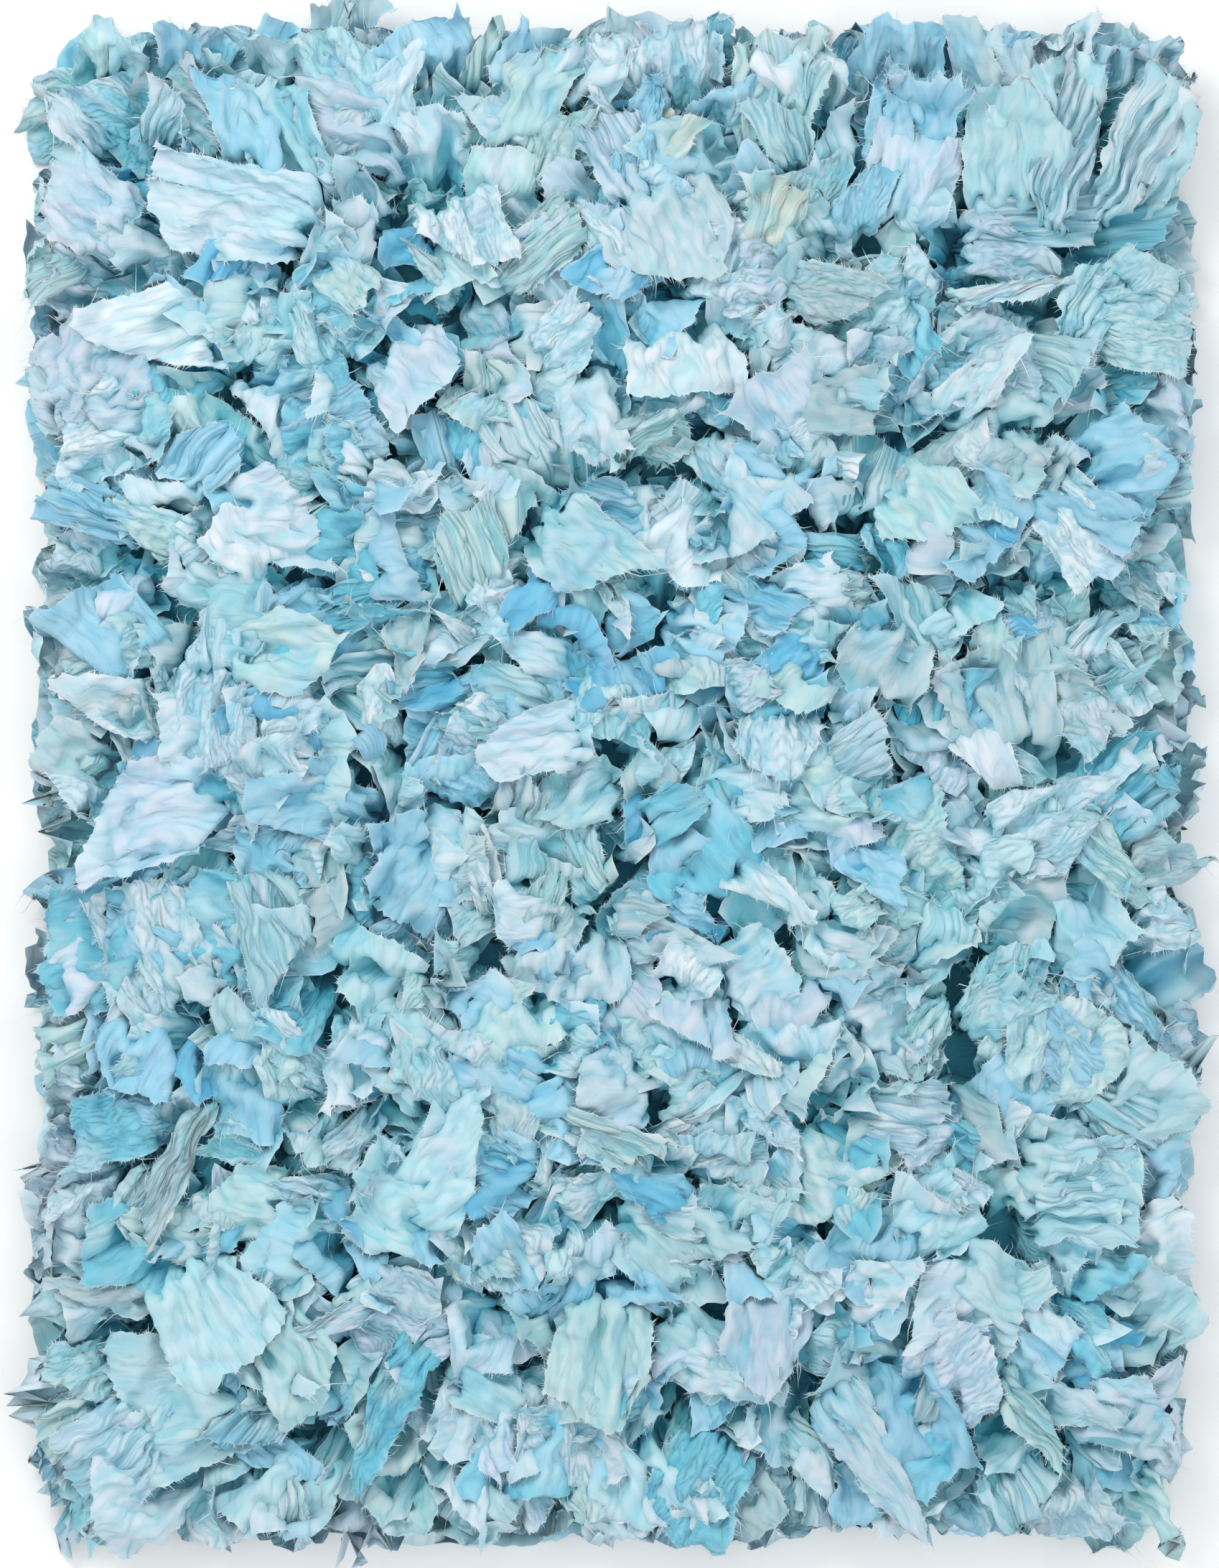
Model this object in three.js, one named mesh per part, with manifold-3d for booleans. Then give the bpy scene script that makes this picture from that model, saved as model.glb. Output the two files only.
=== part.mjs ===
// A small shag rug made of cloth rags, lying flat, in millimetres, +Z up.
// Its short side runs along X and its long side along Y. The origin is on the floor, under its middle.
// It is a flat woven ground that holds a deep, lumpy pile of rags. The rags at the rim fan outwards:
// the low ones droop until they lie on the floor, and the high ones lean out over them.
import * as THREE from "three";
import { mergeVertices } from "three/addons/utils/BufferGeometryUtils.js";
import Module from "manifold-3d";

const wasm = await Module();
wasm.setup();

// The driving sizes.
const GROUND = { width: 640, length: 862, thick: 3, corner: 10 };
const SEAT_GAP = 0.3;

// The pile without its rags: a slab with a lumpy top, a little wider than the ground.
const PILE = {
  width: 670,
  length: 900,
  crown: 40,
  foot: GROUND.thick + SEAT_GAP,
  footInset: 4,
  wallHeight: 13,
  wallWave: 5,
  shoulderInset: 12,
  shoulderHeight: 29,
  corner: 30,
  cell: 33,
};

// The tufts of the pile's top, a staggered field that leans every way, and outwards near the rim. Each
// tuft makes one lump, which slopes up along its heading and drops to the next, and one rag that lies on it.
const FIELD = { pitchX: 84, pitchY: 76, jitter: 26, edge: 42, combed: 30, combedTurn: 1.4 };
const LUMP = { slope: 0.3, lowest: -11, highest: 10, jitter: 4 };

// How a rag runs from its root: each row is a cross-section, with its way out from the slab's wall or from
// its root, the height of its underside, its width and its thickness.
const LOW_RAG = [
  { out: -13, rise: 9, wide: 26, thick: 7 },
  { out: 9, rise: 5.5, wide: 38, thick: 7 },
  { out: 22, rise: 0, wide: 41, thick: 5.5 },
  { out: 36, rise: 0, wide: 35, thick: 2.5 },
];
const HIGH_RAG = [
  { out: -18, rise: 20, wide: 26, thick: 8 },
  { out: 14, rise: 29, wide: 46, thick: 6.5 },
  { out: 34, rise: 21, wide: 38, thick: 2.5 },
];
const TOP_RAG = [
  { out: -12, rise: -10, wide: 34, thick: 8 },
  { out: 22, rise: 8, wide: 52, thick: 6.5 },
  { out: 50, rise: 12, wide: 40, thick: 2.5 },
];

// How the rags are set out round the rim.
const RIM_ROWS = [
  { rag: LOW_RAG, pitch: 51, start: 0, reach: [0.7, 1.02], fan: 0.2 },
  { rag: HIGH_RAG, pitch: 58, start: 0.5, reach: [0.6, 1.02], fan: 0.3 },
];
const RAG_SIZE = { wide: [0.8, 1.12], reach: [0.8, 1.1], slant: 8 };

// A number from 0 to 1 that looks random and is the same for the same seed.
function chance(seed) {
  const x = Math.sin(seed * 12.9898 + 4.1414) * 43758.5453;
  return x - Math.floor(x);
}

function between([low, high], share) {
  return low + (high - low) * share;
}

// A mesh's points and triangles as a solid, and back.
function solidOf(geometry) {
  const bare = geometry.clone().deleteAttribute("normal").deleteAttribute("uv");
  const merged = mergeVertices(bare, 1e-4);
  return new wasm.Manifold(
    new wasm.Mesh({
      numProp: 3,
      vertProperties: new Float32Array(merged.attributes.position.array),
      triVerts: new Uint32Array(merged.index.array),
    }),
  );
}

function geometryOf(solid) {
  const mesh = solid.getMesh();
  const geometry = new THREE.BufferGeometry();
  geometry.setAttribute("position", new THREE.BufferAttribute(mesh.vertProperties, 3));
  geometry.setIndex(new THREE.BufferAttribute(mesh.triVerts, 1));
  geometry.computeVertexNormals();
  return geometry;
}

function geometryFrom(points, triangles) {
  const geometry = new THREE.BufferGeometry();
  geometry.setAttribute("position", new THREE.Float32BufferAttribute(points.flat(), 3));
  geometry.setIndex(triangles.flat());
  return geometry;
}

// The woven ground: a flat mat with slightly rounded corners.
function groundGeometry() {
  const { width, length, thick, corner } = GROUND;
  const [x, y] = [width / 2, length / 2];
  const outline = new THREE.Shape();
  outline.moveTo(x, corner - y);
  outline.lineTo(x, y - corner);
  outline.absarc(x - corner, y - corner, corner, 0, Math.PI / 2);
  outline.lineTo(corner - x, y);
  outline.absarc(corner - x, y - corner, corner, Math.PI / 2, Math.PI);
  outline.lineTo(-x, corner - y);
  outline.absarc(corner - x, corner - y, corner, Math.PI, 1.5 * Math.PI);
  outline.lineTo(x - corner, -y);
  outline.absarc(x - corner, corner - y, corner, 1.5 * Math.PI, 2 * Math.PI);
  return new THREE.ExtrudeGeometry(outline, { depth: thick, bevelEnabled: false, curveSegments: 4 });
}

// Where the tufts stand, and which way each one leans.
function tuftField() {
  const halfX = PILE.width / 2 - FIELD.edge;
  const halfY = PILE.length / 2 - FIELD.edge;
  const columns = Math.floor((2 * halfX) / FIELD.pitchX);
  const rows = Math.floor((2 * halfY) / FIELD.pitchY);
  const tufts = [];
  for (let row = 0; row <= rows; row++) {
    const staggered = row % 2;
    for (let column = 0; column < columns + staggered; column++) {
      const seed = 1000 + 40 * row + column;
      const evenX = (2 * halfX * (column + (1 - staggered) / 2)) / columns - halfX;
      const evenY = (2 * halfY * row) / rows - halfY;
      const fromSide = halfX - Math.abs(evenX);
      const fromEnd = halfY - Math.abs(evenY);
      const atRim = Math.min(fromSide, fromEnd) < FIELD.combed;
      const outwards = fromSide < fromEnd ? (evenX > 0 ? 0 : Math.PI) : Math.sign(evenY) * (Math.PI / 2);
      const combed = outwards + FIELD.combedTurn * (chance(seed + 0.6) - 0.5);
      const jitter = atRim ? 0 : FIELD.jitter;
      tufts.push({
        x: evenX + jitter * (chance(seed) - 0.5),
        y: evenY + jitter * (chance(seed + 0.1) - 0.5),
        heading: atRim ? combed : 2 * Math.PI * chance(seed + 0.2),
        seed,
      });
    }
  }
  return tufts;
}

const TUFTS = tuftField();

// The height of the pile's top at a place: that of the lump of its nearest tuft.
function topHeight(x, y) {
  const far = (tuft) => Math.hypot(x - tuft.x, y - tuft.y);
  const tuft = TUFTS.reduce((nearest, other) => (far(other) < far(nearest) ? other : nearest));
  const ahead = (x - tuft.x) * Math.cos(tuft.heading) + (y - tuft.y) * Math.sin(tuft.heading);
  return PILE.crown + Math.min(LUMP.highest, Math.max(LUMP.lowest, LUMP.slope * ahead));
}

// The slab: a grid of lumps for its top, two rings for its wall and a flat foot that sits on the ground.
function slabGeometry() {
  const across = Math.round(PILE.width / PILE.cell);
  const along = Math.round(PILE.length / PILE.cell);
  const halfX = PILE.width / 2 - PILE.shoulderInset;
  const halfY = PILE.length / 2 - PILE.shoulderInset;
  const pulledIn = PILE.corner * (1 - Math.SQRT1_2);
  const points = [];
  const triangles = [];
  const at = (i, j) => j * (across + 1) + i;

  for (let j = 0; j <= along; j++) {
    for (let i = 0; i <= across; i++) {
      const onSide = i === 0 || i === across;
      const onEnd = j === 0 || j === along;
      const inset = onSide && onEnd ? pulledIn : 0;
      const x = (halfX - inset) * ((2 * i) / across - 1);
      const y = (halfY - inset) * ((2 * j) / along - 1);
      const jitter = LUMP.jitter * (chance(at(i, j)) - 0.5);
      const z = onSide || onEnd ? PILE.shoulderHeight : topHeight(x, y);
      points.push([x, y, z + jitter]);
    }
  }
  for (let j = 0; j < along; j++) {
    for (let i = 0; i < across; i++) {
      const [a, b, c, d] = [at(i, j), at(i + 1, j), at(i + 1, j + 1), at(i, j + 1)];
      const folded = (i + j) % 2 === 0;
      triangles.push(...(folded ? [[a, b, c], [a, c, d]] : [[a, b, d], [b, c, d]]));
    }
  }

  const border = [];
  for (let i = 0; i < across; i++) border.push({ i, j: 0 });
  for (let j = 0; j < along; j++) border.push({ i: across, j });
  for (let i = across; i > 0; i--) border.push({ i, j: along });
  for (let j = along; j > 0; j--) border.push({ i: 0, j });
  const outward = ({ i, j }) =>
    new THREE.Vector2(i === 0 ? -1 : i === across ? 1 : 0, j === 0 ? -1 : j === along ? 1 : 0).normalize();

  // A ring round the slab, a way out from the top's border, at one height.
  const ring = (out, height, wave) =>
    border.map((spot, k) => {
      const [x, y] = points[at(spot.i, spot.j)];
      const way = outward(spot).multiplyScalar(out + wave * (chance(k + 0.5) - 0.5));
      return points.push([x + way.x, y + way.y, height]) - 1;
    });
  const wall = ring(PILE.shoulderInset, PILE.wallHeight, PILE.wallWave);
  const footOut = GROUND.width / 2 - PILE.footInset - halfX;
  const foot = ring(footOut, PILE.foot, 0);
  const shoulder = border.map(({ i, j }) => at(i, j));
  const join = (upper, lower) =>
    upper.forEach((a, k) => {
      const next = (k + 1) % upper.length;
      triangles.push([a, lower[k], lower[next]], [a, lower[next], upper[next]]);
    });
  join(shoulder, wall);
  join(wall, foot);
  const footOutline = foot.map((k) => new THREE.Vector2(points[k][0], points[k][1]));
  THREE.ShapeUtils.triangulateShape(footOutline, []).forEach(([a, b, c]) =>
    triangles.push([foot[a], foot[c], foot[b]]),
  );
  return geometryFrom(points, triangles);
}

// One rag: four-sided sections with a flat underside and a crowned top, joined from root to tip.
// It starts at x, y and runs along heading. Its tip is cut on a slant.
function ragGeometry(sections, { x, y, base, heading, reach, wide, slant }) {
  const points = [];
  const triangles = [];
  const last = sections.length - 1;
  sections.forEach((section, k) => {
    const out = section.out > 0 ? section.out * reach : section.out;
    const half = (section.wide * wide) / 2;
    const cut = (k / last) ** 2 * slant;
    const corners = [
      { side: -half, lift: 0, ahead: -cut },
      { side: half, lift: 0, ahead: cut },
      { side: 0.55 * half, lift: section.thick, ahead: cut / 2 },
      { side: -0.55 * half, lift: section.thick, ahead: -cut / 2 },
    ];
    corners.forEach(({ side, lift, ahead }) => {
      const go = out + ahead;
      points.push([
        x + go * Math.cos(heading) + side * Math.sin(heading),
        y + go * Math.sin(heading) - side * Math.cos(heading),
        base + section.rise + lift,
      ]);
    });
    if (k === last) return;
    for (let c = 0; c < 4; c++) {
      const [a, b] = [4 * k + c, 4 * k + ((c + 1) % 4)];
      triangles.push([a, a + 4, b + 4], [a, b + 4, b]);
    }
  });
  const tip = 4 * last;
  triangles.push([0, 1, 2], [0, 2, 3]);
  triangles.push([tip, tip + 2, tip + 1], [tip, tip + 3, tip + 2]);
  return geometryFrom(points, triangles);
}

// The rags round the rim, in one row: evenly spaced, each turned a little, fanned out round the corners.
function rimRags({ rag, pitch, start, reach, fan }, rowNumber) {
  const { corner } = PILE;
  const straightX = PILE.width - 2 * corner;
  const straightY = PILE.length - 2 * corner;
  const arc = (corner * Math.PI) / 2;
  const stretches = [];
  for (let side = 0; side < 4; side++) {
    const run = side % 2 === 0 ? straightY : straightX;
    stretches.push({ long: run, side }, { long: arc, side, turns: true });
  }
  const round = stretches.reduce((sum, { long }) => sum + long, 0);
  const count = Math.round(round / pitch);

  return Array.from({ length: count }, (_, n) => {
    const seed = 100 * rowNumber + n;
    let rest = ((n + start) * round) / count;
    let k = 0;
    while (rest > stretches[k].long) rest -= stretches[k++].long;
    const { side, turns, long } = stretches[k];
    const facing = (side * Math.PI) / 2 + (turns ? rest / corner : 0);
    const [depth, run] = side % 2 === 0 ? [PILE.width / 2, straightY] : [PILE.length / 2, straightX];
    const place = new THREE.Vector2(depth, turns ? run / 2 : rest - long / 2);
    if (turns) {
      place.set(depth - corner + corner * Math.cos(rest / corner), run / 2 + corner * Math.sin(rest / corner));
    }
    place.rotateAround(new THREE.Vector2(), (side * Math.PI) / 2);
    return ragGeometry(rag, {
      x: place.x,
      y: place.y,
      base: 0,
      heading: facing + fan * (chance(seed + 0.1) - 0.5),
      reach: between(reach, chance(seed + 0.2)),
      wide: between(RAG_SIZE.wide, chance(seed + 0.3)),
      slant: RAG_SIZE.slant * (chance(seed + 0.4) - 0.5),
    });
  });
}

// The rags over the top, one on each tuft's lump.
function topRags() {
  return TUFTS.map(({ x, y, heading, seed }) =>
    ragGeometry(TOP_RAG, {
      x,
      y,
      base: PILE.crown,
      heading,
      reach: between(RAG_SIZE.reach, chance(seed + 0.3)),
      wide: between(RAG_SIZE.wide, chance(seed + 0.4)),
      slant: RAG_SIZE.slant * (chance(seed + 0.5) - 0.5),
    }),
  );
}

// The pile: the slab and every rag, fused at the rags' roots. A pocket that is sealed in between them is
// a surface of its own, and is filled by keeping the outer one alone.
function pileGeometry() {
  const rags = [...RIM_ROWS.flatMap(rimRags), ...topRags()];
  const solids = [slabGeometry(), ...rags].map(solidOf);
  const surfaces = wasm.Manifold.union(solids).decompose();
  return geometryOf(surfaces.reduce((outer, other) => (other.volume() > outer.volume() ? other : outer)));
}

function piece(name, geometry, colour, roughness) {
  const material = new THREE.MeshStandardMaterial({ color: colour, roughness, metalness: 0 });
  const mesh = new THREE.Mesh(geometry, material);
  mesh.name = name;
  return mesh;
}

const rug = new THREE.Group();
rug.add(piece("ground_weave", groundGeometry(), 0xd9d4c6, 0.95));
rug.add(piece("rag_pile", pileGeometry(), 0x9cc4d4, 0.9));

// The rags reach out unevenly, so the whole rug is shifted to put the origin under its middle.
const middle = new THREE.Box3().setFromObject(rug, true).getCenter(new THREE.Vector3());
rug.position.set(-middle.x, -middle.y, 0);

export default rug;
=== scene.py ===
# A small shag rug of torn, crinkled cotton rags, pale blue to turquoise, lying flat and seen from
# straight above. Metres, +Z up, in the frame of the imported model.
import math

import bpy
import numpy as np
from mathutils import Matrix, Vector


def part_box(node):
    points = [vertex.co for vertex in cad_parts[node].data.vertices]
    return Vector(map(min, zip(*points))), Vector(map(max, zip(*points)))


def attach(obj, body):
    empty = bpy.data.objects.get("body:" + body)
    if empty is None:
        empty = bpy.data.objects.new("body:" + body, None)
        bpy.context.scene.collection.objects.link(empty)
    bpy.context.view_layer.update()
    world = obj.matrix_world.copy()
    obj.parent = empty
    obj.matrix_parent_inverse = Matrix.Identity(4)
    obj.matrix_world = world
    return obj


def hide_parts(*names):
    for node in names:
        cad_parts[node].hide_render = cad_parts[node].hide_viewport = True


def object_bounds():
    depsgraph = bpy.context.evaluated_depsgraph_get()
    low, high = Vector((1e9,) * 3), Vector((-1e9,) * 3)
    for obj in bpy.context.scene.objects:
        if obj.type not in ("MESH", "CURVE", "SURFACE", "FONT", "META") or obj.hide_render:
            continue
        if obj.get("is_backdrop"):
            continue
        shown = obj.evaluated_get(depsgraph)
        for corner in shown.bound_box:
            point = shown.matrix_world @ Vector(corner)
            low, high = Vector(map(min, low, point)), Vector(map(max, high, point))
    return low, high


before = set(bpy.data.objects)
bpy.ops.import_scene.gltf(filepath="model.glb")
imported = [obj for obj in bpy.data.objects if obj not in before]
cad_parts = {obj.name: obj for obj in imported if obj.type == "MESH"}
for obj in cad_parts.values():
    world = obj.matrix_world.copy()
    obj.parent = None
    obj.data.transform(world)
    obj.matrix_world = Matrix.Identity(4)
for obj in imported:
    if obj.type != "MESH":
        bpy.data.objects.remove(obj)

cad_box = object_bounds()


# The camera and the light
# The rug is seen from straight above through a long lens, with its long side upright in the frame.
# A pixel of the photograph is 0.45 mm at the level of the rags, and RUG_MIDDLE lies over the origin.
FRAME_PIXELS = (1698, 2184)
PIXEL = 0.00045
RUG_MIDDLE = (854, 1090.5)
CAMERA_HEIGHT = 3.6
SENSOR_MM = 36
PILE_LEVEL = 0.03
ROOM_LIGHT = 0.86


def on_rug(pixel_x, pixel_y):
    """Where on the rug, in metres, a pixel of the photograph lies."""
    return (pixel_x - RUG_MIDDLE[0]) * PIXEL, (RUG_MIDDLE[1] - pixel_y) * PIXEL


camera_data = bpy.data.cameras.new("camera")
camera_data.sensor_fit = "VERTICAL"
camera_data.sensor_height = SENSOR_MM
frame_height = FRAME_PIXELS[1] * PIXEL
camera_data.lens = SENSOR_MM * (CAMERA_HEIGHT - PILE_LEVEL) / frame_height
camera = bpy.data.objects.new("camera", camera_data)
camera.location = (*on_rug(FRAME_PIXELS[0] / 2, FRAME_PIXELS[1] / 2), CAMERA_HEIGHT)
bpy.context.scene.collection.objects.link(camera)
bpy.context.scene.camera = camera
bpy.context.scene.view_settings.view_transform = "Standard"


def linear(hex_colour):
    """An sRGB hex colour as linear red, green and blue."""
    shares = [int(hex_colour[k : k + 2], 16) / 255 for k in (0, 2, 4)]
    return [s / 12.92 if s <= 0.04045 else ((s + 0.055) / 1.055) ** 2.4 for s in shares]


def soft_light(name, size, strength, place, colour):
    """A square panel of even light that faces the middle of the rug."""
    data = bpy.data.lights.new(name, "AREA")
    data.size = size
    data.energy = strength
    data.color = linear(colour)
    panel = bpy.data.objects.new(name, data)
    panel.location = place
    panel.rotation_euler = (-Vector(place)).to_track_quat("-Z", "Y").to_euler()
    bpy.context.scene.collection.objects.link(panel)


soft_light("key_panel", size=1.1, strength=27, place=(-1.1, 1.5, 1.9), colour="fffaf5")
soft_light("fill_panel", size=2.4, strength=14, place=(1.6, -1.2, 2.2), colour="f5faff")
world = bpy.data.worlds.new("studio")
world.use_nodes = True
world.node_tree.nodes["Background"].inputs["Color"].default_value = (1, 1, 1, 1)
world.node_tree.nodes["Background"].inputs["Strength"].default_value = ROOM_LIGHT
bpy.context.scene.world = world


# The floor
# A plain white studio floor, painted matt, which carries the rug and catches its soft shadow.
FLOOR_SIZE = 8.0
UNDER_RUG = 0.0003
WHITE_PAINT = "fcfcfc"


def add_node(tree, kind, settings=None, links=None):
    """Adds a node, sets its settings and values, and links its inputs to other nodes' outputs."""
    node = tree.nodes.new(kind)
    for name, value in (settings or {}).items():
        if isinstance(name, str) and hasattr(node, name):
            setattr(node, name, value)
        else:
            node.inputs[name].default_value = value
    for name, output in (links or {}).items():
        tree.links.new(output, node.inputs[name])
    return node


def new_material(name):
    """A material with nothing but its output, and its node tree."""
    material = bpy.data.materials.new(name)
    material.use_nodes = True
    tree = material.node_tree
    tree.nodes.clear()
    return material, tree


def mesh_object(name, points, faces, material):
    """A smooth-shaded object from arrays of points and of faces with equal numbers of corners."""
    mesh = bpy.data.meshes.new(name)
    faces = np.asarray(faces)
    mesh.vertices.add(len(points))
    mesh.vertices.foreach_set("co", np.asarray(points, dtype=np.float32).ravel())
    mesh.loops.add(faces.size)
    mesh.loops.foreach_set("vertex_index", faces.ravel().astype(np.int32))
    mesh.polygons.add(len(faces))
    corners = faces.shape[1]
    mesh.polygons.foreach_set("loop_start", np.arange(len(faces), dtype=np.int32) * corners)
    mesh.polygons.foreach_set("use_smooth", np.ones(len(faces), dtype=bool))
    mesh.update(calc_edges=True)
    mesh.materials.append(material)
    piece = bpy.data.objects.new(name, mesh)
    bpy.context.scene.collection.objects.link(piece)
    return piece


floor_paint, tree = new_material("matt_floor_paint")
paint = add_node(tree, "ShaderNodeBsdfPrincipled",
                 {"Base Color": (*linear(WHITE_PAINT), 1), "Roughness": 0.9})
add_node(tree, "ShaderNodeOutputMaterial", links={"Surface": paint.outputs["BSDF"]})
half = FLOOR_SIZE / 2
floor_corners = [(x * half, y * half, -UNDER_RUG) for x, y in ((-1, -1), (1, -1), (1, 1), (-1, 1))]
floor = mesh_object("studio_floor", floor_corners, [(0, 1, 2, 3)], floor_paint)
floor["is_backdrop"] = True


# The woven ground
# A mat of thick cotton weft beaten down over cotton warps, about 3 mm thick, which holds every rag by its
# root. It only shows in gaps of the pile and from below.
RIB = 0.006
RIB_SAMPLES = 3
RIB_DEPTH = 0.0005
FACE_LENGTH = 0.046
GRAINS_PER_METRE = 260
GRAIN_DEPTH = 0.0008
GROUND_DYE, DEEP_DYE = "6cc6da", "3f9fb8"
ground_low, ground_high = (Vector(corner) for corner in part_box("ground_weave"))
ground_half = np.array([(ground_high.x - ground_low.x) / 2, (ground_high.y - ground_low.y) / 2])
ground_top = ground_high.z


def ribbed_face(height, deeper):
    """A level face of the mat, with the ribs of its weft, and the index of each of its points."""
    y = np.linspace(-ground_half[1], ground_half[1], int(2 * ground_half[1] / RIB) * RIB_SAMPLES + 1)
    x = np.linspace(-ground_half[0], ground_half[0], int(2 * ground_half[0] / FACE_LENGTH) + 1)
    x, y = np.meshgrid(x, y, indexing="ij")
    z = height + deeper * RIB_DEPTH * (1 - np.cos(2 * math.pi * (y + ground_half[1]) / RIB)) / 2
    return np.stack([x, y, z], axis=-1)


upper = ribbed_face(ground_top, -1)
lower = ribbed_face(ground_low.z, 1)
count_x, count_y = upper.shape[:2]
upper_index = np.arange(count_x * count_y).reshape(count_x, count_y)
lower_index = upper_index + count_x * count_y


def quads_between(a, b):
    """Faces between two rows of points."""
    return np.stack([a[:-1], a[1:], b[1:], b[:-1]], axis=-1)


def grid_faces(index):
    """Faces over a grid of points, facing up where the first axis is x and the second is y."""
    return np.stack([index[:-1, :-1], index[1:, :-1], index[1:, 1:], index[:-1, 1:]], axis=-1).reshape(-1, 4)


ground_faces = np.concatenate([
    grid_faces(upper_index),
    grid_faces(lower_index)[:, ::-1],
    quads_between(lower_index[:, 0], upper_index[:, 0]),
    quads_between(upper_index[:, -1], lower_index[:, -1]),
    quads_between(upper_index[0], lower_index[0]),
    quads_between(lower_index[-1], upper_index[-1]),
])

# Cotton yarn in a plain weave, dyed with the rags: matt, with a soft rib and the grain of its twist. Real
# twist is too fine to show, so its grain is drawn about 4 mm long.
weave_paint, tree = new_material("woven_cotton_weft")
place = add_node(tree, "ShaderNodeTexCoord")
stretch = add_node(tree, "ShaderNodeMapping", {"Scale": (1.0, 3.0, 1.0)},
                   {"Vector": place.outputs["Object"]})
grain = add_node(tree, "ShaderNodeTexNoise", {"Scale": GRAINS_PER_METRE, "Detail": 3.0},
                 {"Vector": stretch.outputs["Vector"]})
tone = add_node(tree, "ShaderNodeValToRGB", links={"Fac": grain.outputs["Fac"]})
tone.color_ramp.elements[0].color = (*linear(DEEP_DYE), 1)
tone.color_ramp.elements[1].color = (*linear(GROUND_DYE), 1)
twist = add_node(tree, "ShaderNodeBump", {"Strength": 0.6, "Distance": GRAIN_DEPTH},
                 {"Height": grain.outputs["Fac"]})
yarn = add_node(tree, "ShaderNodeBsdfPrincipled", {"Roughness": 0.95, "Specular IOR Level": 0.2},
                {"Base Color": tone.outputs["Color"], "Normal": twist.outputs["Normal"]})
add_node(tree, "ShaderNodeOutputMaterial", links={"Surface": yarn.outputs["BSDF"]})
ground_points = np.concatenate([upper.reshape(-1, 3), lower.reshape(-1, 3)])
ground = mesh_object("ribbed_ground", ground_points, ground_faces, weave_paint)
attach(ground, "root")
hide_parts("ground_weave")


# The rags, gathered
# Strips of washed cotton, torn by hand and not hemmed. Each one is gathered at one end into a tight bundle
# of pleats, which stands up out of the ground, and is left loose from there on.
draw = np.random.default_rng(7)
CLOTHS = {"muslin": 0.55, "gauze": 0.3, "crepe": 0.15}
# How far a strip is spread out between its folds, as a share of its width: at its root, at its tip before
# it is settled, and at its tip once it lies.
GATHERED, LOW_GATHERED = 0.18, 0.5
FIRST_OPENED = (0.24, 0.36)
OPENED = {"muslin": (0.88, 0.99), "gauze": (0.76, 0.95), "crepe": (0.64, 0.84)}
# Folds come round again after so many columns of points.
FOLD_PERIODS = {"muslin": (4, 6, 8), "gauze": (2, 4, 6), "crepe": (2, 4)}
LONGEST_PERIOD = 8
UNEVEN_FOLDS = 0.3
MOST_COLUMNS = 20
ROOT_INSET = 0.006


class Rag:
    """One torn strip: where it is rooted, which way it leans, how large it is and what it is made of."""

    def __init__(self, root, heading, lean, long, wide, cloth=None, dye=None, tip=None, rise=0,
                 gathered=GATHERED):
        self.root = np.clip(root, ROOT_INSET - ground_half, ground_half - ROOT_INSET)
        self.heading, self.lean, self.long, self.wide = heading, lean, long, wide
        self.cloth = cloth or draw.choice(list(CLOTHS), p=list(CLOTHS.values()))
        self.dye, self.tip, self.rise, self.gathered = dye, tip, rise, gathered
        self.opening = draw.uniform(*OPENED[self.cloth])
        self.first_opening = draw.uniform(*FIRST_OPENED)
        self.period = draw.choice(FOLD_PERIODS[self.cloth])
        self.first_fold = draw.integers(LONGEST_PERIOD)
        self.uneven = draw.uniform(-UNEVEN_FOLDS, UNEVEN_FOLDS, MOST_COLUMNS)


# Rows of roots each way, how far a root strays in shares of a row, and how far from the ground's edge a rag
# still leans outwards.
LOW_COUNT, HIGH_COUNT = (24, 33), (18, 26)
ROOT_SCATTER = 0.35
ROW_INSET = 0.008
EDGE_BAND = 0.09


def rooted(counts):
    """Places for roots in uneven rows over the ground, with the way out and how near the edge each is."""
    for i in range(counts[0] + 1):
        for j in range(counts[1] + 1):
            step = (np.array([i, j]) + draw.uniform(-ROOT_SCATTER, ROOT_SCATTER, 2)) / counts
            root = np.clip(2 * step - 1, -1, 1) * (ground_half - ROW_INSET)
            outward = np.maximum(0, 1 - (ground_half - np.abs(root)) / EDGE_BAND)
            way = np.sign(root) * outward
            yield root, math.atan2(way[1], way[0]), outward.max()


# Angles are in radians. At the edge a rag strays from the way out by its STRAY, and inside by more.
LOW_LONG, LOW_WIDE = (0.052, 0.086), (0.040, 0.078)
LOW_LEAN, LOW_LEAN_SPREAD, MORE_LOW_LEAN = 0.35, 0.2, 0.6
LOW_STRAY, LOW_STRAY_INSIDE = 0.4, 1.2


def low_rags():
    """Short rags that fill the pile from below. Those near the edge lean outwards."""
    for root, outward, near in rooted(LOW_COUNT):
        heading = draw.uniform(0, 2 * math.pi)
        lean = abs(draw.normal(LOW_LEAN, LOW_LEAN_SPREAD))
        if near > 0:
            heading = outward + draw.normal(0, LOW_STRAY + LOW_STRAY_INSIDE * (1 - near))
            lean = LOW_LEAN + MORE_LOW_LEAN * near
        yield Rag(root, heading, lean, draw.uniform(*LOW_LONG), draw.uniform(*LOW_WIDE),
                  gathered=LOW_GATHERED)


RIM_ROWS = [
    # between roots, in from the edge, shortest, longest
    (0.028, 0.005, 0.054, 0.068),
    (0.032, 0.024, 0.068, 0.088),
]
RIM_SCATTER = 0.3
RIM_WIDE, RIM_LEAN = (0.056, 0.110), (0.8, 1.25)
RIM_STRAY = 0.36
CORNER = 0.05


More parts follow.
